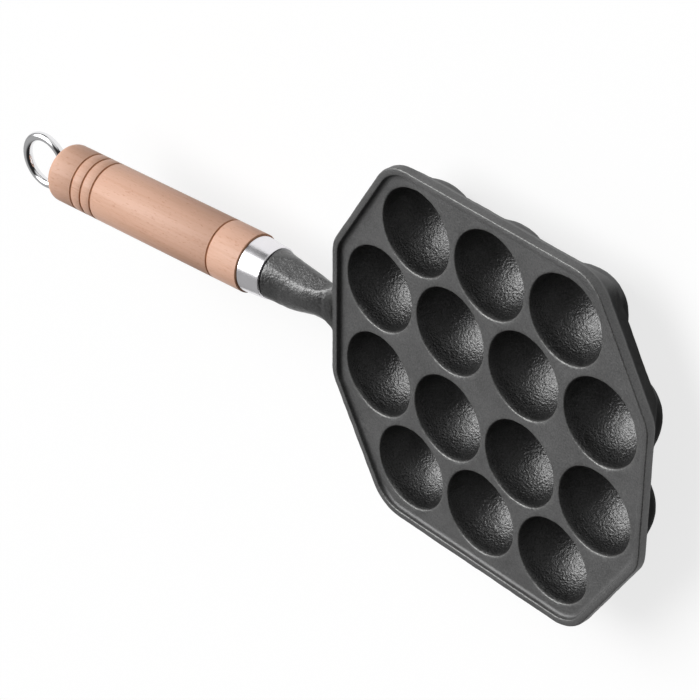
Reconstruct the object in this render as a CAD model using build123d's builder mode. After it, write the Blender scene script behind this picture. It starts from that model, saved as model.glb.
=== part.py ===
from build123d import *
import math
import os

# Cast iron takoyaki pan: one casting with fourteen cups, and a wooden grip held by a long ring bolt.
# The origin is the middle of the cup pattern on the cooking face. +X points away from the handle,
# +Z out of the cups. All sizes are in millimetres.

os.makedirs("parts", exist_ok=True)

# Cup pattern: two inner rows of four and two outer rows of three, staggered by half a pitch
cup_pitch = 43.4
inner_row_y = 22.15
outer_row_y = 60.5
inner_row_cups = 4
outer_row_cups = 3

# Inside of a cup: a bowl below a short tapered collar
cup_bowl_radius = 19.6
cup_collar_depth = 3.5
cup_mouth_radius = 19.9
cup_mouth_rounding = 0.7

# Outline of the pan: an octagon, longest along the handle
half_length = 92.9
half_width = 89.0
end_side_half = 34.3
long_side_half = 59.1
end_corner_radius = 16.0
side_corner_radius = 20.0

# Rim round the cooking face
rim_height = 2.4
rim_width = 3.7
rim_edge_rounding = 0.8
rim_foot_fillet = 1.2

# Underside: a block with sloping flanks, and a rounded bump under each cup
wall_below_face = 2.1
block_depth = 16.0
block_end_inset = 12.0
block_slant_inset = 9.8
block_side_inset = 11.0
block_corner_radius = 10.0
block_edge_rounding = 4.0
wall_edge_rounding = 0.8
bump_radius = 21.0
bump_centre_depth = 6.5
rest_depth = 27.0
bump_fillet = 5.0

# Handle axis: it rises away from the pan, through the joint between ferrule and grip
handle_rise_deg = 6.75
joint_x = -141.6
joint_z = 3.57

# Cast neck: sections from the ferrule down to the rim, as centre (x, y, z), half width and half height
neck_start_radius = 12.3
neck_edge_rounding = 0.6
neck_waist = (-110.0, -0.5, 0.5, 11.1, 8.45)
neck_throat = (-99.5, 0.0, 0.0, 10.0, 6.0)
neck_root = (-94.5, -0.5, 0.0, 11.6, 4.0)
neck_foot = (-92.1, -2.6, 0.1, 16.3, 2.4)

# Ferrule: a tapered steel collar over the spigots of neck and grip
ferrule_length = 12.2
ferrule_grip_radius = 13.35
ferrule_neck_radius = 12.5
ferrule_bore_radius = 11.4
ferrule_edge = 0.3
spigot_radius = 11.35
grip_spigot_length = 7.0
spigot_gap = 0.2

# Wooden grip
grip_radius = 14.1
grip_length = 121.2
grip_butt_rounding = 4.5
grip_shoulder_chamfer = 0.4
grip_bore_radius = 3.3
butt_recess_radius = 8.0
butt_recess_depth = 2.5
groove_width = 0.9
groove_depth = 0.6
ferrule_groove_from_joint = 17.8
first_groove_from_butt = 17.2
butt_groove_pitch = 6.25
butt_groove_count = 3

# Ring bolt and its washer
rod_radius = 3.0
tapped_hole_radius = 3.05
tapped_hole_depth = 14.0
thread_engagement = 12.0
washer_radius = 7.5
washer_hole_radius = 3.1
washer_thickness = 1.0
washer_gap = 0.05
ring_wire_radius = 2.2
ring_outer_radius = 14.6
rod_weld_reach = 1.0

# Places worked out from the sizes above
full_size = (0, 0, 0)
inside_rim = (rim_width, rim_width, rim_width)
block_insets = (block_end_inset, block_slant_inset, block_side_inset)
cup_centres = []
for row_y, row_cups in ((inner_row_y, inner_row_cups), (outer_row_y, outer_row_cups)):
    for side in (1, -1):
        for cup in range(row_cups):
            cup_centres.append(((cup - (row_cups - 1) / 2) * cup_pitch, side * row_y))

rise = math.radians(handle_rise_deg)
handle_direction = Vector(-math.cos(rise), 0, math.sin(rise))
handle_joint = Vector(joint_x, 0, joint_z)


def handle_point(distance):
    """A point on the handle axis, measured from the joint towards the butt."""
    return handle_joint + handle_direction * distance


def handle_plane(distance):
    """A plane across the handle axis, its normal towards the butt."""
    return Plane(origin=handle_point(distance), x_dir=(0, 1, 0), z_dir=handle_direction)


# Profiles of turned pieces are drawn with X along the handle axis and Y outwards from it
turning_plane = Plane(origin=handle_joint, x_dir=handle_direction, z_dir=(0, 1, 0))
turning_axis = Axis(handle_joint, handle_direction)


def outline_points(end_inset, slant_inset, side_inset):
    """The octagon's eight corners, with its ends, slanted sides and long sides moved in by these."""
    slant = Vector(half_width - end_side_half, half_length - long_side_half).normalized()
    slant_reach = slant.X * half_length + slant.Y * end_side_half - slant_inset
    end_x = half_length - end_inset
    end_y = (slant_reach - slant.X * end_x) / slant.Y
    side_y = half_width - side_inset
    side_x = (slant_reach - slant.Y * side_y) / slant.X
    quarter = [(end_x, end_y), (side_x, side_y)]
    upper_left = [(-x, y) for x, y in reversed(quarter)]
    lower = [(x, -y) for x, y in reversed(quarter + upper_left)]
    return quarter + upper_left + lower


def pan_outline(height, insets, end_radius, side_radius):
    """A flat octagon with rounded corners at the given height."""
    corners = outline_points(*insets)
    with BuildSketch(Plane.XY.offset(height)) as outline:
        with BuildLine():
            Polyline(*corners, close=True)
        make_face()
        end_x = corners[0][0]
        fillet(outline.vertices().filter_by(lambda v: abs(v.X) > end_x - 0.01), end_radius)
        side_y = corners[1][1]
        fillet(outline.vertices().filter_by(lambda v: abs(v.Y) > side_y - 0.01), side_radius)
    return outline.sketch


def level_edges(part, height):
    """The part's edges that lie flat at the given height."""
    return part.edges().filter_by(
        lambda e: abs(e.bounding_box().min.Z - height) < 0.001 and abs(e.bounding_box().max.Z - height) < 0.001
    )


def is_bump_seam(edge):
    """Whether an edge lies on a bump, above its flat foot."""
    middle = edge @ 0.5
    on_bump = any(
        abs((middle - Vector(x, y, -bump_centre_depth)).length - bump_radius) < 0.01 for x, y in cup_centres
    )
    return on_bump and middle.Z > 1 - rest_depth


# One cup's inside, used as a cutter
with BuildPart() as cup_space:
    with BuildSketch(Plane.XZ):
        with BuildLine():
            bottom = (0, -cup_collar_depth - cup_bowl_radius)
            brim = (cup_bowl_radius, -cup_collar_depth)
            bowl = RadiusArc(bottom, brim, -cup_bowl_radius)
            Line(brim, (cup_mouth_radius, 0))
            Line((cup_mouth_radius, 0), (0, 0))
            Line((0, 0), bottom)
        make_face()
    revolve(axis=Axis.Z)

# The cast neck, from the ferrule to the rim
with BuildPart() as neck:
    with BuildSketch(handle_plane(-ferrule_length)):
        Circle(neck_start_radius)
    for *section_centre, half_across, half_high in (neck_waist, neck_throat, neck_root, neck_foot):
        section_plane = Plane(origin=section_centre, x_dir=(0, 1, 0), z_dir=(-1, 0, 0))
        with BuildSketch(section_plane):
            Ellipse(half_across, half_high)
    loft()
    fillet(neck.edges().sort_by(Axis.X)[0], neck_edge_rounding)
    with BuildSketch(handle_plane(-ferrule_length)):
        Circle(spigot_radius)
    extrude(amount=ferrule_length - grip_spigot_length - spigot_gap)

# The pan casting
with BuildPart() as pan_casting:
    add(pan_outline(rim_height, full_size, end_corner_radius, side_corner_radius))
    extrude(amount=-rim_height - wall_below_face)
    add(pan_outline(-wall_below_face, full_size, end_corner_radius, side_corner_radius))
    add(pan_outline(-block_depth, block_insets, block_corner_radius, block_corner_radius))
    loft(ruled=True)
    fillet(level_edges(pan_casting, -block_depth), block_edge_rounding)
    fillet(level_edges(pan_casting, -wall_below_face), wall_edge_rounding)
    with Locations(*[(x, y, -bump_centre_depth) for x, y in cup_centres]):
        lower_half = (Align.CENTER, Align.CENTER, Align.MAX)
        Sphere(bump_radius, arc_size1=-90, arc_size2=0, align=lower_half)
    with Locations((0, 0, -rest_depth)):
        Box(
            4 * half_length,
            4 * half_width,
            rest_depth,
            align=(Align.CENTER, Align.CENTER, Align.MAX),
            mode=Mode.SUBTRACT,
        )
    fillet(pan_casting.edges().filter_by(is_bump_seam), bump_fillet)
    add(pan_outline(0, inside_rim, end_corner_radius - rim_width, side_corner_radius - rim_width))
    extrude(amount=rim_height, mode=Mode.SUBTRACT)
    fillet(level_edges(pan_casting, rim_height), rim_edge_rounding)
    fillet(level_edges(pan_casting, 0), rim_foot_fillet)
    with Locations(*[(x, y, 0) for x, y in cup_centres]):
        add(cup_space.part, mode=Mode.SUBTRACT)
    mouths = level_edges(pan_casting, 0).filter_by(GeomType.CIRCLE)
    fillet(mouths.filter_by(lambda e: abs(e.radius - cup_mouth_radius) < 0.01), cup_mouth_rounding)
    add(neck.part)
    with BuildSketch(handle_plane(-grip_spigot_length)):
        Circle(tapped_hole_radius)
    extrude(amount=-tapped_hole_depth - spigot_gap, mode=Mode.SUBTRACT)

# Ferrule
with BuildPart() as ferrule:
    with BuildSketch(turning_plane):
        with BuildLine():
            Polyline(
                (-ferrule_length, ferrule_bore_radius),
                (0, ferrule_bore_radius),
                (0, ferrule_grip_radius),
                (-ferrule_length, ferrule_neck_radius),
                close=True,
            )
        make_face()
    revolve(axis=turning_axis)
    rims = ferrule.edges().filter_by(GeomType.CIRCLE).filter_by(lambda e: e.radius > ferrule_bore_radius + 0.1)
    fillet(rims, ferrule_edge)

# Wooden grip
groove_places = [ferrule_groove_from_joint]
for groove in range(butt_groove_count):
    groove_places.append(grip_length - first_groove_from_butt - groove * butt_groove_pitch)

with BuildPart() as grip:
    with BuildSketch(handle_plane(0)):
        Circle(grip_radius)
    extrude(amount=grip_length)
    outer_edges = grip.edges().filter_by(GeomType.CIRCLE).sort_by(Axis.X)
    fillet(outer_edges[0], grip_butt_rounding)
    chamfer(grip.edges().filter_by(GeomType.CIRCLE).sort_by(Axis.X)[-1], grip_shoulder_chamfer)
    with BuildSketch(handle_plane(-grip_spigot_length)):
        Circle(spigot_radius)
    extrude(amount=grip_spigot_length)
    for place in groove_places:
        with BuildSketch(turning_plane):
            with BuildLine():
                Polyline(
                    (place - groove_width / 2, grip_radius + groove_depth),
                    (place - groove_width / 2, grip_radius),
                    (place - groove_width / 4, grip_radius - groove_depth),
                    (place + groove_width / 4, grip_radius - groove_depth),
                    (place + groove_width / 2, grip_radius),
                    (place + groove_width / 2, grip_radius + groove_depth),
                    close=True,
                )
            make_face()
        revolve(axis=turning_axis, mode=Mode.SUBTRACT)
    with BuildSketch(handle_plane(-grip_spigot_length)):
        Circle(grip_bore_radius)
    extrude(amount=grip_spigot_length + grip_length, mode=Mode.SUBTRACT)
    with BuildSketch(handle_plane(grip_length - butt_recess_depth)):
        Circle(butt_recess_radius)
    extrude(amount=butt_recess_depth, mode=Mode.SUBTRACT)

# Washer in the recess of the butt, under the ring
with BuildPart() as butt_washer:
    with BuildSketch(handle_plane(grip_length - butt_recess_depth)):
        Circle(washer_radius)
        Circle(washer_hole_radius, mode=Mode.SUBTRACT)
    extrude(amount=washer_thickness)

# Hanging ring, in the plane of the handle axis and Y
ring_near_side = grip_length - butt_recess_depth + washer_thickness + washer_gap
ring_centre = handle_point(ring_near_side + ring_outer_radius)
ring_plane = Plane(origin=ring_centre, x_dir=handle_direction, z_dir=(math.sin(rise), 0, math.cos(rise)))
with BuildPart(ring_plane) as hanging_ring:
    Torus(ring_outer_radius - ring_wire_radius, ring_wire_radius)

# Tie rod, screwed into the neck and welded to the ring
rod_start = -grip_spigot_length - spigot_gap - thread_engagement
with BuildPart() as tie_rod:
    with BuildSketch(handle_plane(rod_start)):
        Circle(rod_radius)
    extrude(amount=ring_near_side + rod_weld_reach - rod_start)
    chamfer(tie_rod.edges().filter_by(GeomType.CIRCLE).sort_by(Axis.X)[-1], rod_radius / 4)
    add(hanging_ring.part, mode=Mode.SUBTRACT)

pan_casting.part.label = "pan_casting"
ferrule.part.label = "ferrule"
grip.part.label = "grip"
butt_washer.part.label = "butt_washer"
hanging_ring.part.label = "hanging_ring"
tie_rod.part.label = "tie_rod"

export_step(pan_casting.part, "parts/pan_casting.step")
export_step(ferrule.part, "parts/ferrule.step")
export_step(grip.part, "parts/grip.step")
export_step(butt_washer.part, "parts/butt_washer.step")
export_step(hanging_ring.part, "parts/hanging_ring.step")
export_step(tie_rod.part, "parts/tie_rod.step")
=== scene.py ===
import math

import bpy
from mathutils import Matrix, Vector


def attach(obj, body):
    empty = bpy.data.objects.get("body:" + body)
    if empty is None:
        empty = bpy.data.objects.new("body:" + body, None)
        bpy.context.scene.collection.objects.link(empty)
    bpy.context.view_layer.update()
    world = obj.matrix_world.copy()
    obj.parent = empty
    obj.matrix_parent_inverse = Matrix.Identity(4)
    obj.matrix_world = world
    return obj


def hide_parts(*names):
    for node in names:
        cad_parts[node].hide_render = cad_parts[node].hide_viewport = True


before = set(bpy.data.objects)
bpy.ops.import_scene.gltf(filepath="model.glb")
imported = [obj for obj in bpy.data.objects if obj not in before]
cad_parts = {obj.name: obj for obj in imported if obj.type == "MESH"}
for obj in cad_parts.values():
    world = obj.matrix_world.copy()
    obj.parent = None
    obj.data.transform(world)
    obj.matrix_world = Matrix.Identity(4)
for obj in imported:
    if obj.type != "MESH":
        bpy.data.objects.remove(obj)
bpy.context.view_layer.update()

MM = 0.001

# Handle axis: it leaves the joint between ferrule and grip and rises away from the pan
RISE = math.radians(6.75)
JOINT = Vector((-0.1416, 0.0, 0.00357))
HANDLE_TURN = Matrix.Rotation(-(math.pi / 2 - RISE), 4, "Y")
UPRIGHT = (0, math.pi / 2 - RISE, 0)

# Lengths on the handle, in millimetres from the joint towards the butt
FERRULE_LENGTH = 12.2
FERRULE_BORE = 11.4
FERRULE_GRIP_RADIUS = 13.35
FERRULE_NECK_RADIUS = 12.5
FERRULE_EDGE = 0.35
FERRULE_GRIP_ROLL = 0.9
FERRULE_GRIP_DIP = 0.05
FERRULE_NECK_ROLL = 1.2
FERRULE_NECK_SWELL = 0.06
SPIGOT_LENGTH = 7.0
SPIGOT_RADIUS = 11.35
GRIP_END = 121.2
GRIP_RADIUS = 14.1
GRIP_BORE = 3.3
GRIP_SHOULDER = 0.4
BUTT_ROUNDING = 4.5
BUTT_RECESS_DEPTH = 2.5
BUTT_RECESS_RADIUS = 8.0
BUTT_RECESS_EDGE = 0.3
GROOVES = (17.8, 91.5, 97.75, 104.0)
GROOVE_DEPTH = 0.6
GROOVE_SIDE = ((0.6, 0.0), (0.45, 0.08), (0.28, 0.5))
GROOVE_BURNT_HALF_WIDTH = 0.55
WASHER_SEAT = GRIP_END - BUTT_RECESS_DEPTH
WASHER_THICKNESS = 1.0
WASHER_RADIUS = 7.5
WASHER_HOLE = 3.1
WASHER_SEAT_EDGE = 0.1
WASHER_TOP_ROUNDING = 0.25
WASHER_HOLE_EDGE = 0.15
RING_GAP = 0.05
ROD_RADIUS = 3.0
ROD_START = -19.2
ROD_TIP_CHAMFER = 0.75
ROD_END_CHAMFER = 0.3
ROD_INTO_RING = 0.4
THREAD_LENGTH = 14.0
THREAD_PITCH = 1.0
THREAD_DEPTH = 0.5
THREAD_RUNOUT = 1.5
THREAD_STEPS = 84
ROD_SURFACE_MARGIN = 0.01
RING_NEAR_SIDE = WASHER_SEAT + WASHER_THICKNESS + RING_GAP
RING_WIRE_RADIUS = 2.2
RING_OUTER_RADIUS = 14.6
BEAD_PROFILE = (
    (0.0, 0.0), (0.0, 2.9), (0.25, 3.15), (0.8, 3.1),
    (1.5, 2.7), (2.2, 2.35), (2.8, 1.4), (2.9, 0.0),
)

# Facet of the neck, in millimetres: (x, how far the metal may stand out along the facet's normal)
FACET_TILT = math.radians(32)
FACET_NORMAL = Vector((0, math.cos(FACET_TILT), math.sin(FACET_TILT)))
FACET_STATIONS = (
    (-127.5, 13.8), (-124.0, 12.4), (-120.0, 11.4), (-116.0, 10.3), (-112.0, 9.3),
    (-107.0, 8.4), (-101.0, 7.9), (-98.0, 8.1), (-95.0, 8.9), (-93.0, 10.8),
)
FACET_SOFTNESS = 0.4

# Pan, in metres
REST_Z = -0.0270
CUP_MOUTH_RADIUS = 0.0199
CUP_BALL_Z = -0.0035
CUP_PITCH = 0.0434
CUP_ROWS = ((0.02215, 4), (0.0605, 3))
CUP_CENTRES = []
for row_y, row_cups in CUP_ROWS:
    for side in (1, -1):
        for cup in range(row_cups):
            CUP_CENTRES.append(((cup - (row_cups - 1) / 2) * CUP_PITCH, side * row_y))

# Skin of the casting, in metres; its unevenness as (name, size, depth, strength, vertex group)
SKIN_CELL = 0.00055
SKIN_TRIANGLES = 190000
MERGE_DISTANCE = 0.000002
NECK_GROUP_END = -0.0965
UNEVENNESS = (
    ("casting_waves", 0.009, 2, 0.00030, ""),
    ("casting_lumps", 0.0028, 1, 0.00014, ""),
    ("neck_lumps", 0.0032, 2, 0.00030, "neck"),
)

# Where the iron's surface changes and where shade is painted under the pan, as the start and end of each
# eased step; lengths in metres
CUP_FINISH_DEPTH = (0.0004, 0.0022)
CUP_FINISH_MARGIN = 0.0008
LIP_RADIUS_UP = (0.0192, 0.0197)
LIP_RADIUS_DOWN = (0.0204, 0.0209)
LIP_HEIGHT_UP = (-0.0014, -0.0006)
LIP_HEIGHT_DOWN = (0.0, 0.0006)
RIM_HEIGHT = (0.0009, 0.0014)
RIM_TILT_UP = (0.1, 0.35)
RIM_TILT_DOWN = (0.93, 0.99)
UNDER_DEPTH = (0.0024, 0.0048)
PAN_START = (-0.0945, -0.0930)
# Painted shade under the pan is lighter on flanks that face +Y, where the light falls
LIT_FLANK_FACING = (0.30, 0.80)
LIT_FLANK_SHARE = 0.85

# Seasoned iron: tones, shares of bare metal, roughness and lift of the grain on each part of the pan
NECK_SPAN = (-0.0940, -0.0985)
IRON_TONES = [(0.32, 0.100), (0.68, 0.122)]
SPECK_TINT = (1.6, 1.6, 1.6)
SPECK_TINT_SPAN = (0.30, 0.72)
CUP_TINT = (1.02, 1.02, 1.02)
# Painted shade: the colour under the pan is darkened nearly to black
UNDER_PAINTED_SHADE = (0.05, 0.05, 0.05)
NECK_TINT = (0.92, 0.92, 0.92)
RUBBED_COLOUR = (0.18, 0.18, 0.176)
RUBBED_SHARE = (0.1, 1.0)
RUBBED_SPAN = (0.42, 0.60)
PLATE_METAL = 0.78
CUP_METAL = 0.95
UNDER_METAL = 0.0
NECK_METAL = 0.85
PLATE_ROUGHNESS = (0.50, 0.62)
CUP_ROUGHNESS = (0.36, 0.46)
UNDER_ROUGHNESS = 0.92
NECK_ROUGHNESS = (0.30, 0.42)
RUBBED_ROUGHNESS = 0.38
NOISE_SPAN = (0.3, 0.7)
PATCH_SPAN = (0.35, 0.65)
PLATE_LIFT = 0.5
CUP_LIFT = 2.0
NECK_LIFT = 1.1
GRAIN_HEIGHT = 0.00022

# Beech and its burnt grooves; each pattern as repeats per metre across, across and along the handle
BEECH_GRAIN = (700, 700, 18)
BEECH_BANDS = (110, 110, 7)
BEECH_FLECKS = (1500, 1500, 380)
BEECH_PALE_FLECKS = (900, 900, 260)
BEECH_TONES = [(0.3, (0.62, 0.362, 0.253)), (0.55, (0.69, 0.42, 0.307)), (0.8, (0.73, 0.46, 0.34))]
BEECH_GRAIN_TINT = (0.88, 0.78, 0.71)
BEECH_FLECK_TINT = (0.76, 0.60, 0.50)
BEECH_PALE_TINT = (1.12, 1.10, 1.08)
BEECH_GRAIN_HEIGHT = 0.00006
# The burnt tones also darken the shoulder at the ferrule joint, as painted shade
BURNT_TONES = [(0.3, (0.45, 0.215, 0.12)), (0.7, (0.60, 0.31, 0.18))]
BURNT_GRAIN_HEIGHT = 0.00008

# Bright metal
SMEAR_TINT = 0.93
TURNING_HEIGHT = 0.000012

# Camera, fitted to the photograph's frame: place and clipping in metres, lens and sensor in millimetres
CAMERA_PLACE = (0.709325, 0.711982, 0.71702)
CAMERA_RIGHT = Vector((0.66834087, 0.00503938, -0.74383808))
CAMERA_UP = Vector((-0.42244946, 0.825637, -0.37397862))
CAMERA_BACK = Vector((0.61225562, 0.56417919, 0.55393583))
CAMERA_LENS = 152.43
CAMERA_SENSOR = 36.0
CAMERA_NEAR = 0.01
CAMERA_FAR = 100.0

# Studio: a floor that looks white and lights little, and soft panels of light in a dim room
FLOOR_SIZE = 30.0
FLOOR_GAP = 0.0002
FLOOR_TONES = [(0.0, 0.36), (1.0, 0.97)]
FLOOR_GLOW_SHARE = 0.78
ROOM_LIGHT = 0.03
PANELS = (
    # direction, edge and core in degrees from it, strength
    ((-0.61, -0.56, 0.55), 62, 12, 0.50),
    ((-0.90, 0.36, 0.26), 30, 8, 0.40),
    ((-0.52, 0.38, 0.76), 33, 9, 8.2),
    ((0.10, 0.94, 0.32), 38, 12, 0.9),
)


def deselect_all():
    """Nothing stays selected or active."""
    bpy.ops.object.select_all(action="DESELECT")
    bpy.context.view_layer.objects.active = None


def pick(piece):
    """Only this piece is selected and active."""
    deselect_all()
    piece.select_set(True)
    bpy.context.view_layer.objects.active = piece


def apply_all_modifiers(piece):
    pick(piece)
    for modifier in list(piece.modifiers):
        bpy.ops.object.modifier_apply(modifier=modifier.name)


def set_in_place(piece, place):
    """A piece made on the bench goes to its place, with the place in its mesh."""
    piece.matrix_world = place
    pick(piece)
    bpy.ops.object.transform_apply(location=True, rotation=True, scale=True)


def set_on_handle(piece):
    """A piece turned about Z on the bench goes to its place on the handle axis."""
    set_in_place(piece, Matrix.Translation(JOINT) @ HANDLE_TURN)


def turned(name, profile, segments):
    """A piece turned about Z from a profile of (distance along Z, radius) points, in millimetres.

    A profile that starts and ends at the same point makes a closed ring.
    """
    deselect_all()
    distance, radius = profile[0]
    bpy.ops.mesh.primitive_plane_add(size=MM, location=(0, 0, 0))
    piece = bpy.context.object
    piece.name = name
    bpy.ops.object.mode_set(mode="EDIT")
    bpy.ops.mesh.select_all(action="SELECT")
    bpy.ops.mesh.merge(type="CENTER")
    bpy.ops.transform.translate(value=(radius * MM, 0, distance * MM))
    for next_distance, next_radius in profile[1:]:
        step = ((next_radius - radius) * MM, 0, (next_distance - distance) * MM)
        bpy.ops.mesh.extrude_vertices_move(TRANSFORM_OT_translate={"value": step})
        distance, radius = next_distance, next_radius
    bpy.ops.mesh.select_all(action="SELECT")
    bpy.ops.mesh.spin(steps=segments, angle=2 * math.pi, center=(0, 0, 0), axis=(0, 0, 1))
    bpy.ops.mesh.select_all(action="SELECT")
    bpy.ops.mesh.remove_doubles(threshold=MERGE_DISTANCE)
    bpy.ops.mesh.normals_make_consistent(inside=False)
    bpy.ops.object.mode_set(mode="OBJECT")
    return piece


def arc(centre_distance, centre_radius, size, start_deg, end_deg, steps):
    """Profile points on a circular arc; 0 degrees points outwards, 90 degrees towards the butt."""
    points = []
    for step in range(steps + 1):
        angle = math.radians(start_deg + (end_deg - start_deg) * step / steps)
        points.append((centre_distance + size * math.sin(angle), centre_radius + size * math.cos(angle)))
    return points


def smooth(piece, angle_deg):
    pick(piece)
    bpy.ops.object.shade_smooth_by_angle(angle=math.radians(angle_deg))


def wear(piece, material):
    """The piece is finished with this material only."""
    piece.data.materials.clear()
    piece.data.materials.append(material)


def eased(value, start, end):
    """0 before start, 1 after end, and smooth between."""
    share = min(1.0, max(0.0, (value - start) / (end - start)))
    return share * share * (3 - 2 * share)


# Node helpers
def new_material(name):
    material = bpy.data.materials.new(name)
    material.use_nodes = True
    nodes, links = material.node_tree.nodes, material.node_tree.links
    return material, nodes, links, nodes["Principled BSDF"]


def object_place(nodes):
    place = nodes.new("ShaderNodeTexCoord")
    return place.outputs["Object"]


def along_handle(nodes, links, stretch):
    """Object coordinates stood upright on the handle axis, then stretched for a pattern."""
    stand = nodes.new("ShaderNodeMapping")
    stand.inputs["Rotation"].default_value = UPRIGHT
    links.new(object_place(nodes), stand.inputs["Vector"])
    pull = nodes.new("ShaderNodeMapping")
    pull.inputs["Scale"].default_value = stretch
    links.new(stand.outputs["Vector"], pull.inputs["Vector"])
    return pull.outputs["Vector"]


def noise(nodes, links, vector, scale, detail, roughness=0.5, distortion=0.0):
    texture = nodes.new("ShaderNodeTexNoise")
    texture.inputs["Scale"].default_value = scale
    texture.inputs["Detail"].default_value = detail
    texture.inputs["Roughness"].default_value = roughness
    texture.inputs["Distortion"].default_value = distortion
    links.new(vector, texture.inputs["Vector"])
    return texture.outputs["Fac"]


def ramp(nodes, links, value, stops):
    """Colour ramp from (position, grey or colour) stops."""
    node = nodes.new("ShaderNodeValToRGB")
    elements = node.color_ramp.elements
    while len(elements) > 1:
        elements.remove(elements[-1])
    for index, (position, colour) in enumerate(stops):
        element = elements[0] if index == 0 else elements.new(position)
        element.position = position
        element.color = (colour, colour, colour, 1) if isinstance(colour, float) else (*colour, 1)
    links.new(value, node.inputs["Fac"])
    return node.outputs["Color"]


def spread(nodes, links, value, onto, span=(0.0, 1.0)):
    """A value that runs over the span is mapped onto another pair of ends."""
    node = nodes.new("ShaderNodeMapRange")
    node.inputs["From Min"].default_value, node.inputs["From Max"].default_value = span
    node.inputs["To Min"].default_value, node.inputs["To Max"].default_value = onto
    links.new(value, node.inputs["Value"])
    return node.outputs["Result"]


def blended(nodes, links, mask, plain, marked):
    """One value gives way to another where the mask is 1; each is a number or an output."""
    node = nodes.new("ShaderNodeMix")
    links.new(mask, node.inputs["Factor"])
    for socket, given in ((node.inputs["A"], plain), (node.inputs["B"], marked)):
        if isinstance(given, float):
            socket.default_value = given
        else:
            links.new(given, socket)
    return node.outputs["Result"]


def tinted(nodes, links, mask, under, tint, how="MULTIPLY"):
    """A tint laid over a colour where the mask is 1."""
    node = nodes.new("ShaderNodeMix")
    node.data_type = "RGBA"
    node.blend_type = how
    links.new(mask, node.inputs["Factor"])
    links.new(under, node.inputs["A"])
    node.inputs["B"].default_value = (*tint, 1)
    return node.outputs["Result"]


def times(nodes, links, first, second):
    node = nodes.new("ShaderNodeMath")
    node.operation = "MULTIPLY"
    links.new(first, node.inputs[0])
    links.new(second, node.inputs[1])
    return node.outputs[0]


def bump(nodes, links, height, distance):
    node = nodes.new("ShaderNodeBump")
    node.inputs["Distance"].default_value = distance
    links.new(height, node.inputs["Height"])
    return node.outputs["Normal"]


# Camera and studio
def make_camera():
    data = bpy.data.cameras.new("photo_camera")
    data.sensor_width = CAMERA_SENSOR
    data.lens = CAMERA_LENS
    data.clip_start = CAMERA_NEAR
    data.clip_end = CAMERA_FAR
    camera = bpy.data.objects.new("photo_camera", data)
    bpy.context.scene.collection.objects.link(camera)
    turn = Matrix((CAMERA_RIGHT, CAMERA_UP, CAMERA_BACK)).transposed().to_4x4()
    camera.matrix_world = Matrix.Translation(CAMERA_PLACE) @ turn
    bpy.context.scene.camera = camera


def make_floor():
    """A pale floor: the camera and reflections see it white, and other rays find it grey."""
    deselect_all()
    bpy.ops.mesh.primitive_plane_add(size=FLOOR_SIZE, location=(0, 0, REST_Z - FLOOR_GAP))
    floor = bpy.context.object
    floor.name = "floor"
    material, nodes, links, shader = new_material("floor_white")
    shader.inputs["Roughness"].default_value = 0.9
    shader.inputs["Specular IOR Level"].default_value = 0.1
    rays = nodes.new("ShaderNodeLightPath")
    seen = rays.outputs["Is Camera Ray"]
    for kind in ("Is Glossy Ray", "Is Transmission Ray"):
        add = nodes.new("ShaderNodeMath")
        add.operation = "ADD"
        add.use_clamp = True
        links.new(seen, add.inputs[0])
        links.new(rays.outputs[kind], add.inputs[1])
        seen = add.outputs[0]
    links.new(ramp(nodes, links, seen, FLOOR_TONES), shader.inputs["Base Color"])
    white = nodes.new("ShaderNodeEmission")
    white.inputs["Strength"].default_value = 1.0
    mix = nodes.new("ShaderNodeMixShader")
    links.new(spread(nodes, links, seen, (0.0, FLOOR_GLOW_SHARE)), mix.inputs[0])
    links.new(shader.outputs[0], mix.inputs[1])
    links.new(white.outputs[0], mix.inputs[2])
    links.new(mix.outputs[0], nodes["Material Output"].inputs["Surface"])
    wear(floor, material)


def make_world():
    """A dim room with soft glowing panels."""
    world = bpy.data.worlds.new("studio")
    bpy.context.scene.world = world
    world.use_nodes = True
    nodes, links = world.node_tree.nodes, world.node_tree.links
    nodes.clear()
    place = nodes.new("ShaderNodeTexCoord")
    room_light = nodes.new("ShaderNodeValue")
    room_light.outputs[0].default_value = ROOM_LIGHT
    total = room_light.outputs[0]
    for direction, edge_deg, core_deg, strength in PANELS:
        facing = nodes.new("ShaderNodeVectorMath")
        facing.operation = "DOT_PRODUCT"
        links.new(place.outputs["Generated"], facing.inputs[0])
        facing.inputs[1].default_value = Vector(direction).normalized()
        glow = nodes.new("ShaderNodeMapRange")
        glow.interpolation_type = "SMOOTHSTEP"
        glow.inputs["From Min"].default_value = math.cos(math.radians(edge_deg))
        glow.inputs["From Max"].default_value = math.cos(math.radians(core_deg))
        glow.inputs["To Max"].default_value = strength
        links.new(facing.outputs["Value"], glow.inputs["Value"])
        add = nodes.new("ShaderNodeMath")
        add.operation = "ADD"
        links.new(total, add.inputs[0])
        links.new(glow.outputs["Result"], add.inputs[1])
        total = add.outputs[0]
    room = nodes.new("ShaderNodeBackground")
    links.new(total, room.inputs["Strength"])
    out = nodes.new("ShaderNodeOutputWorld")
    links.new(room.outputs[0], out.inputs["Surface"])


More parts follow.
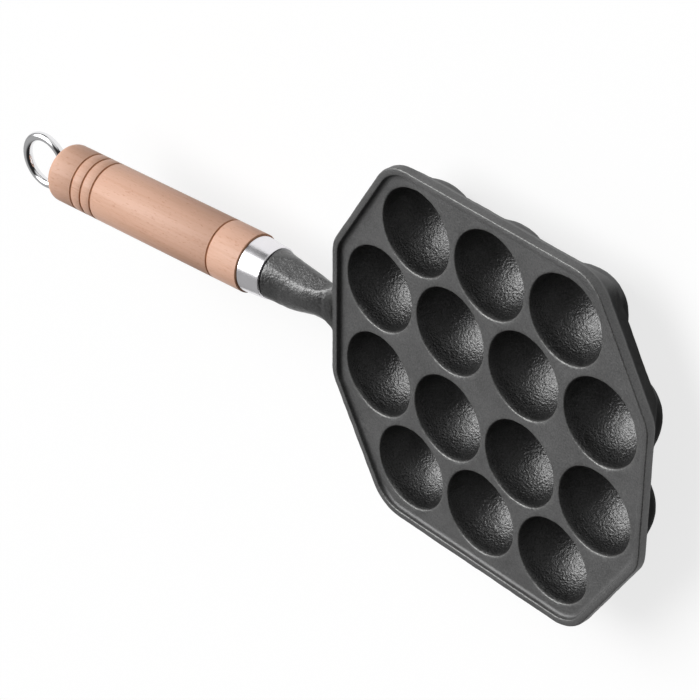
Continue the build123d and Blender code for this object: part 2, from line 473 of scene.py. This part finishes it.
# Materials
def build_cast_grain():
    """Sand-cast surface: grains of sand in its height, with masks of oily patches and of fine specks."""
    group = bpy.data.node_groups.new("cast_grain", "ShaderNodeTree")
    face = group.interface
    face.new_socket("Vector", in_out="INPUT", socket_type="NodeSocketVector")
    size = face.new_socket("Grain Scale", in_out="INPUT", socket_type="NodeSocketFloat")
    size.default_value = 1000.0
    for name in ("Height", "Patches", "Specks"):
        face.new_socket(name, in_out="OUTPUT", socket_type="NodeSocketFloat")
    nodes, links = group.nodes, group.links
    given = nodes.new("NodeGroupInput")
    put = nodes.new("NodeGroupOutput")
    grains = nodes.new("ShaderNodeTexNoise")
    grains.inputs["Detail"].default_value = 2.0
    grains.inputs["Roughness"].default_value = 0.6
    links.new(given.outputs["Grain Scale"], grains.inputs["Scale"])
    links.new(given.outputs["Vector"], grains.inputs["Vector"])
    links.new(grains.outputs["Fac"], put.inputs["Height"])
    patches = noise(nodes, links, given.outputs["Vector"], scale=42.0, detail=4.0)
    links.new(patches, put.inputs["Patches"])
    specks = noise(nodes, links, given.outputs["Vector"], scale=1400.0, detail=2.0, roughness=0.6)
    links.new(specks, put.inputs["Specks"])
    return group


def seasoned_iron(name):
    """Seasoned cast iron, near black and satin.

    The skin's own attribute says where it changes: red inside the cups, green on the worn
    edges and blue under the pan, where the colour is painted shade near black. The neck, found by its
    place, is oiled and shinier.
    """
    material, nodes, links, shader = new_material(name)
    grain = nodes.new("ShaderNodeGroup")
    grain.node_tree = cast_grain
    place = object_place(nodes)
    links.new(place, grain.inputs["Vector"])
    patches, specks = grain.outputs["Patches"], grain.outputs["Specks"]
    finish_and_shade = nodes.new("ShaderNodeAttribute")
    finish_and_shade.attribute_name = "finish_and_shade"
    masks = nodes.new("ShaderNodeSeparateColor")
    links.new(finish_and_shade.outputs["Color"], masks.inputs[0])
    in_cup, on_edge, under_pan = masks.outputs[0], masks.outputs[1], masks.outputs[2]
    split = nodes.new("ShaderNodeSeparateXYZ")
    links.new(place, split.inputs[0])
    on_neck = spread(nodes, links, split.outputs["X"], (0.0, 1.0), NECK_SPAN)
    rubbed = times(nodes, links, on_edge, spread(nodes, links, specks, RUBBED_SHARE, RUBBED_SPAN))

    speckled = spread(nodes, links, specks, (0.0, 1.0), SPECK_TINT_SPAN)
    tone = ramp(nodes, links, patches, IRON_TONES)
    tone = tinted(nodes, links, speckled, tone, SPECK_TINT)
    tone = tinted(nodes, links, in_cup, tone, CUP_TINT)
    # Painted shade: the colour under the pan is darkened nearly to black, less on flanks that face +Y
    tone = tinted(nodes, links, under_pan, tone, UNDER_PAINTED_SHADE)
    tone = tinted(nodes, links, on_neck, tone, NECK_TINT)
    tone = tinted(nodes, links, rubbed, tone, RUBBED_COLOUR, "MIX")
    links.new(tone, shader.inputs["Base Color"])

    bare = blended(nodes, links, in_cup, PLATE_METAL, CUP_METAL)
    bare = blended(nodes, links, under_pan, bare, UNDER_METAL)
    bare = blended(nodes, links, on_neck, bare, NECK_METAL)
    links.new(bare, shader.inputs["Metallic"])

    rough = spread(nodes, links, specks, PLATE_ROUGHNESS, NOISE_SPAN)
    rough = blended(nodes, links, in_cup, rough, spread(nodes, links, specks, CUP_ROUGHNESS, NOISE_SPAN))
    rough = blended(nodes, links, under_pan, rough, UNDER_ROUGHNESS)
    rough = blended(nodes, links, on_neck, rough, spread(nodes, links, patches, NECK_ROUGHNESS, PATCH_SPAN))
    rough = blended(nodes, links, rubbed, rough, RUBBED_ROUGHNESS)
    links.new(rough, shader.inputs["Roughness"])
    shader.inputs["Specular IOR Level"].default_value = 0.2

    lift = blended(nodes, links, in_cup, PLATE_LIFT, CUP_LIFT)
    lift = blended(nodes, links, on_neck, lift, NECK_LIFT)
    height = times(nodes, links, grain.outputs["Height"], lift)
    links.new(bump(nodes, links, height, GRAIN_HEIGHT), shader.inputs["Normal"])
    return material


def beech(name):
    """Pale pink-tan beech with a satin face: fine long grain, short dark flecks and pale ones."""
    material, nodes, links, shader = new_material(name)
    grain = noise(nodes, links, along_handle(nodes, links, BEECH_GRAIN), 1.0, detail=4.0, roughness=0.6)
    bands = noise(nodes, links, along_handle(nodes, links, BEECH_BANDS), 1.0, detail=3.0, distortion=0.4)
    flecks = noise(nodes, links, along_handle(nodes, links, BEECH_FLECKS), 1.0, detail=2.0)
    pale_flecks = noise(nodes, links, along_handle(nodes, links, BEECH_PALE_FLECKS), 1.0, detail=2.0)
    tone = ramp(nodes, links, bands, BEECH_TONES)
    dark_lines = spread(nodes, links, grain, (0.0, 0.45), (0.45, 0.75))
    tone = tinted(nodes, links, dark_lines, tone, BEECH_GRAIN_TINT)
    dark_spots = spread(nodes, links, flecks, (0.0, 0.6), (0.58, 0.75))
    tone = tinted(nodes, links, dark_spots, tone, BEECH_FLECK_TINT)
    pale_spots = spread(nodes, links, pale_flecks, (0.0, 0.5), (0.62, 0.75))
    tone = tinted(nodes, links, pale_spots, tone, BEECH_PALE_TINT)
    links.new(tone, shader.inputs["Base Color"])
    links.new(spread(nodes, links, grain, (0.42, 0.60)), shader.inputs["Roughness"])
    shader.inputs["Specular IOR Level"].default_value = 0.4
    links.new(bump(nodes, links, grain, BEECH_GRAIN_HEIGHT), shader.inputs["Normal"])
    return material


def burnt_wood_and_joint_shade(name):
    """The turned grooves, darkened by the tool's rubbing; on the shoulder at the ferrule joint the same
    dark colour is painted shade.
    """
    material, nodes, links, shader = new_material(name)
    scorch = noise(nodes, links, object_place(nodes), scale=700.0, detail=3.0)
    links.new(ramp(nodes, links, scorch, BURNT_TONES), shader.inputs["Base Color"])
    links.new(spread(nodes, links, scorch, (0.55, 0.8)), shader.inputs["Roughness"])
    links.new(bump(nodes, links, scorch, BURNT_GRAIN_HEIGHT), shader.inputs["Normal"])
    return material


def bright_metal(name, colour, roughness, turned_lines):
    """Polished or plated steel with faint turning lines round the handle axis."""
    material, nodes, links, shader = new_material(name)
    turning = along_handle(nodes, links, (40, 40, turned_lines))
    rings = noise(nodes, links, turning, 1.0, detail=4.0, roughness=0.6)
    smears = noise(nodes, links, object_place(nodes), scale=90.0, detail=3.0)
    shader.inputs["Metallic"].default_value = 1.0
    tones = [(0.25, tuple(SMEAR_TINT * part for part in colour)), (0.75, colour)]
    links.new(ramp(nodes, links, smears, tones), shader.inputs["Base Color"])
    links.new(spread(nodes, links, smears, roughness, NOISE_SPAN), shader.inputs["Roughness"])
    links.new(bump(nodes, links, rings, TURNING_HEIGHT), shader.inputs["Normal"])
    return material


# Casting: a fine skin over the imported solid, with the slow unevenness of a sand casting
def flatten_neck(skin):
    """The upper +Y side of the cast neck is a flat facet under a soft ridge."""
    for point in skin.data.vertices:
        along, out = point.co.x / MM, point.co.dot(FACET_NORMAL) / MM
        for (start, reach), (end, next_reach) in zip(FACET_STATIONS, FACET_STATIONS[1:]):
            if start <= along < end:
                over = out - reach - (next_reach - reach) * (along - start) / (end - start)
                soft = min(max(over + FACET_SOFTNESS, 0.0), 2 * FACET_SOFTNESS) ** 2 / (4 * FACET_SOFTNESS)
                point.co -= FACET_NORMAL * max(soft, over) * MM


def sink(skin, name, size, depth, strength, group):
    """Unevenness that only ever goes into the surface."""
    cloud = bpy.data.textures.new(name, "CLOUDS")
    cloud.noise_scale = size
    cloud.noise_depth = depth
    press = skin.modifiers.new(name, "DISPLACE")
    press.texture = cloud
    press.texture_coords = "LOCAL"
    press.mid_level = 1.0
    press.strength = strength
    press.vertex_group = group


def make_casting():
    pick(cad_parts["pan_casting"])
    bpy.ops.object.duplicate()
    core = bpy.context.object
    core.name = "casting_core"
    bpy.ops.object.mode_set(mode="EDIT")
    bpy.ops.mesh.select_all(action="SELECT")
    bpy.ops.mesh.remove_doubles(threshold=MERGE_DISTANCE)
    bpy.ops.object.mode_set(mode="OBJECT")
    core.parent = None
    for key in list(core.keys()):
        del core[key]
    pick(core)
    bpy.ops.object.duplicate()
    skin = bpy.context.object
    skin.name = "casting"
    remesh = skin.modifiers.new("skin", "REMESH")
    remesh.mode = "VOXEL"
    remesh.voxel_size = SKIN_CELL
    hug = skin.modifiers.new("hug", "SHRINKWRAP")
    hug.target = core
    hug.wrap_method = "NEAREST_SURFACEPOINT"
    apply_all_modifiers(skin)
    flatten_neck(skin)
    neck = skin.vertex_groups.new(name="neck")
    neck.add([point.index for point in skin.data.vertices if point.co.x < NECK_GROUP_END], 1.0, "REPLACE")
    for unevenness in UNEVENNESS:
        sink(skin, *unevenness)
    apply_all_modifiers(skin)
    thin = skin.modifiers.new("thin", "DECIMATE")
    triangles = sum(len(face.vertices) - 2 for face in skin.data.polygons)
    thin.ratio = min(1.0, SKIN_TRIANGLES / triangles)
    apply_all_modifiers(skin)
    skin.vertex_groups.clear()
    bpy.data.objects.remove(core)
    return skin


def mark_finish_and_shade(skin):
    """Each point of the skin learns how far it is in a cup, on a worn edge and under the pan, where shade
    is painted.
    """
    marks = []
    for point in skin.data.vertices:
        place, facing = point.co, point.normal
        centre_x, centre_y = min(CUP_CENTRES, key=lambda c: (place.x - c[0]) ** 2 + (place.y - c[1]) ** 2)
        to_ball = Vector((centre_x, centre_y, CUP_BALL_Z)) - place
        off_axis = math.hypot(to_ball.x, to_ball.y)
        faces_in = facing.dot(to_ball) > 0 and off_axis < CUP_MOUTH_RADIUS + CUP_FINISH_MARGIN
        in_cup = eased(-place.z, *CUP_FINISH_DEPTH) if faces_in else 0.0
        on_pan = eased(place.x, *PAN_START)
        on_lip = eased(off_axis, *LIP_RADIUS_UP) * (1 - eased(off_axis, *LIP_RADIUS_DOWN)) * (1 - in_cup)
        on_lip *= eased(place.z, *LIP_HEIGHT_UP) * (1 - eased(place.z, *LIP_HEIGHT_DOWN))
        on_rim = eased(place.z, *RIM_HEIGHT) * eased(facing.z, *RIM_TILT_UP)
        on_rim *= (1 - eased(facing.z, *RIM_TILT_DOWN)) * on_pan
        # The painted shade under the pan is lighter on the flanks that face +Y, where the light falls
        under = 0.0 if faces_in else eased(-place.z, *UNDER_DEPTH) * on_pan
        under *= 1 - LIT_FLANK_SHARE * eased(facing.y, *LIT_FLANK_FACING)
        marks += (in_cup, max(on_lip, on_rim), under, 1.0)
    finish_and_shade = skin.data.attributes.new("finish_and_shade", "FLOAT_COLOR", "POINT")
    finish_and_shade.data.foreach_set("color", marks)


# Grip: turned beech with burnt grooves, a rounded butt and the spigot for the ferrule
def make_grip():
    profile = [(-SPIGOT_LENGTH, GRIP_BORE), (-SPIGOT_LENGTH, SPIGOT_RADIUS), (0.0, SPIGOT_RADIUS)]
    profile += [(0.0, GRIP_RADIUS - GRIP_SHOULDER), (GRIP_SHOULDER, GRIP_RADIUS)]
    for groove in GROOVES:
        for offset, depth in GROOVE_SIDE:
            profile.append((groove - offset, GRIP_RADIUS - depth))
        profile.append((groove, GRIP_RADIUS - GROOVE_DEPTH))
        for offset, depth in reversed(GROOVE_SIDE):
            profile.append((groove + offset, GRIP_RADIUS - depth))
    profile += arc(GRIP_END - BUTT_ROUNDING, GRIP_RADIUS - BUTT_ROUNDING, BUTT_ROUNDING, 0, 90, steps=10)
    profile.append((GRIP_END, BUTT_RECESS_RADIUS + BUTT_RECESS_EDGE))
    profile.append((GRIP_END - BUTT_RECESS_EDGE, BUTT_RECESS_RADIUS))
    profile += [(WASHER_SEAT, BUTT_RECESS_RADIUS), (WASHER_SEAT, GRIP_BORE), (-SPIGOT_LENGTH, GRIP_BORE)]
    grip = turned("grip_turned", profile, segments=128)
    wear(grip, wood)
    grip.data.materials.append(groove_burn_and_joint_shade)
    for face in grip.data.polygons:
        distance, radius = face.center.z / MM, math.hypot(face.center.x, face.center.y) / MM
        in_groove = any(abs(distance - groove) < GROOVE_BURNT_HALF_WIDTH for groove in GROOVES)
        # Painted shade: the shoulder at the joint with the ferrule takes the dark groove colour
        shaded_shoulder = 0 <= distance < GRIP_SHOULDER
        if (in_groove or shaded_shoulder) and radius > FERRULE_BORE:
            face.material_index = 1
    set_on_handle(grip)
    smooth(grip, angle_deg=40)
    return grip


# Ferrule: a polished steel collar with rolled edges
def make_ferrule():
    edge_radius = FERRULE_GRIP_RADIUS - FERRULE_EDGE
    profile = [(-FERRULE_LENGTH, FERRULE_BORE), (0.0, FERRULE_BORE), (0.0, edge_radius)]
    profile += arc(-FERRULE_EDGE, edge_radius, FERRULE_EDGE, 90, 0, steps=4)
    profile.append((-FERRULE_GRIP_ROLL, FERRULE_GRIP_RADIUS - FERRULE_GRIP_DIP))
    profile.append((FERRULE_NECK_ROLL - FERRULE_LENGTH, FERRULE_NECK_RADIUS + FERRULE_NECK_SWELL))
    neck_edge = FERRULE_EDGE - FERRULE_LENGTH
    profile += arc(neck_edge, FERRULE_NECK_RADIUS - FERRULE_EDGE, FERRULE_EDGE, 0, -90, steps=4)
    profile.append((-FERRULE_LENGTH, FERRULE_BORE))
    ferrule = turned("ferrule_collar", profile, segments=128)
    wear(ferrule, ferrule_steel)
    set_on_handle(ferrule)
    smooth(ferrule, angle_deg=40)
    return ferrule


# Ring bolt: a bent wire ring, welded to the end of a long threaded rod, over a washer
def make_ring():
    deselect_all()
    bpy.ops.mesh.primitive_torus_add(
        major_radius=(RING_OUTER_RADIUS - RING_WIRE_RADIUS) * MM,
        minor_radius=RING_WIRE_RADIUS * MM,
        major_segments=144,
        minor_segments=40,
    )
    ring = bpy.context.object
    ring.name = "ring_welded"
    along = Vector((-math.cos(RISE), 0, math.sin(RISE)))
    upward = Vector((math.sin(RISE), 0, math.cos(RISE)))
    turn = Matrix((along, upward.cross(along), upward)).transposed().to_4x4()
    centre = JOINT + along * (RING_NEAR_SIDE + RING_OUTER_RADIUS) * MM
    set_in_place(ring, Matrix.Translation(centre) @ turn)
    profile = [(RING_NEAR_SIDE + distance, radius) for distance, radius in BEAD_PROFILE]
    bead = turned("weld_bead", profile, segments=64)
    set_on_handle(bead)
    weld = ring.modifiers.new("weld", "BOOLEAN")
    weld.operation = "UNION"
    weld.solver = "EXACT"
    weld.object = bead
    apply_all_modifiers(ring)
    bpy.data.objects.remove(bead)
    wear(ring, ring_steel)
    smooth(ring, angle_deg=50)
    return ring


def make_washer():
    seat, top = WASHER_SEAT, WASHER_SEAT + WASHER_THICKNESS
    profile = [(seat, WASHER_HOLE), (seat, WASHER_RADIUS - WASHER_SEAT_EDGE)]
    profile.append((seat + WASHER_SEAT_EDGE, WASHER_RADIUS))
    rounding_start = top - WASHER_TOP_ROUNDING
    profile += arc(rounding_start, WASHER_RADIUS - WASHER_TOP_ROUNDING, WASHER_TOP_ROUNDING, 0, 90, steps=4)
    profile += [(top, WASHER_HOLE + WASHER_HOLE_EDGE), (top - WASHER_HOLE_EDGE, WASHER_HOLE)]
    profile.append((seat, WASHER_HOLE))
    washer = turned("washer_pressed", profile, segments=96)
    wear(washer, zinc_steel)
    set_on_handle(washer)
    smooth(washer, angle_deg=40)
    return washer


def make_rod():
    """The rod, with its thread cut into the end that screws into the neck."""
    thread_start = ROD_START + ROD_TIP_CHAMFER
    profile = [(ROD_START, 0.0), (ROD_START, ROD_RADIUS - ROD_TIP_CHAMFER), (thread_start, ROD_RADIUS)]
    for step in range(1, THREAD_STEPS + 1):
        profile.append((thread_start + (THREAD_LENGTH - ROD_TIP_CHAMFER) * step / THREAD_STEPS, ROD_RADIUS))
    end = RING_NEAR_SIDE + ROD_INTO_RING
    profile += [(end - ROD_END_CHAMFER, ROD_RADIUS), (end, ROD_RADIUS - ROD_END_CHAMFER), (end, 0.0)]
    rod = turned("rod_threaded", profile, segments=48)
    for point in rod.data.vertices:
        distance = point.co.z / MM - ROD_START
        radius = math.hypot(point.co.x, point.co.y)
        if radius < (ROD_RADIUS - ROD_SURFACE_MARGIN) * MM or distance > THREAD_LENGTH:
            continue
        turn = (distance / THREAD_PITCH - math.atan2(point.co.y, point.co.x) / (2 * math.pi)) % 1.0
        runout = 1 - eased(distance, THREAD_LENGTH - THREAD_RUNOUT, THREAD_LENGTH)
        depth = THREAD_DEPTH * (1 - abs(2 * turn - 1)) * runout
        share = 1 - depth * MM / radius
        point.co.x *= share
        point.co.y *= share
    wear(rod, zinc_steel)
    set_on_handle(rod)
    smooth(rod, angle_deg=40)
    return rod


cast_grain = build_cast_grain()
iron = seasoned_iron("seasoned_iron")
wood = beech("beech_grip")
groove_burn_and_joint_shade = burnt_wood_and_joint_shade("burnt_groove_and_joint_shade")
ferrule_steel = bright_metal("ferrule_steel", (0.86, 0.845, 0.87), (0.20, 0.28), 5000)
ring_steel = bright_metal("ring_chrome", (0.85, 0.85, 0.86), (0.08, 0.15), 800)
zinc_steel = bright_metal("zinc_steel", (0.62, 0.62, 0.63), (0.22, 0.38), 2500)

make_camera()
make_floor()
make_world()

casting = make_casting()
wear(casting, iron)
smooth(casting, angle_deg=60)
mark_finish_and_shade(casting)
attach(casting, "pan")
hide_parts("pan_casting")

grip = make_grip()
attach(grip, "pan")
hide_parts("grip")

ferrule = make_ferrule()
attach(ferrule, "pan")
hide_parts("ferrule")

ring = make_ring()
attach(ring, "ring_bolt")
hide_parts("hanging_ring")

rod = make_rod()
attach(rod, "ring_bolt")
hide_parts("tie_rod")

washer = make_washer()
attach(washer, "washer")
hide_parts("butt_washer")

bpy.context.scene.view_settings.view_transform = "Standard"
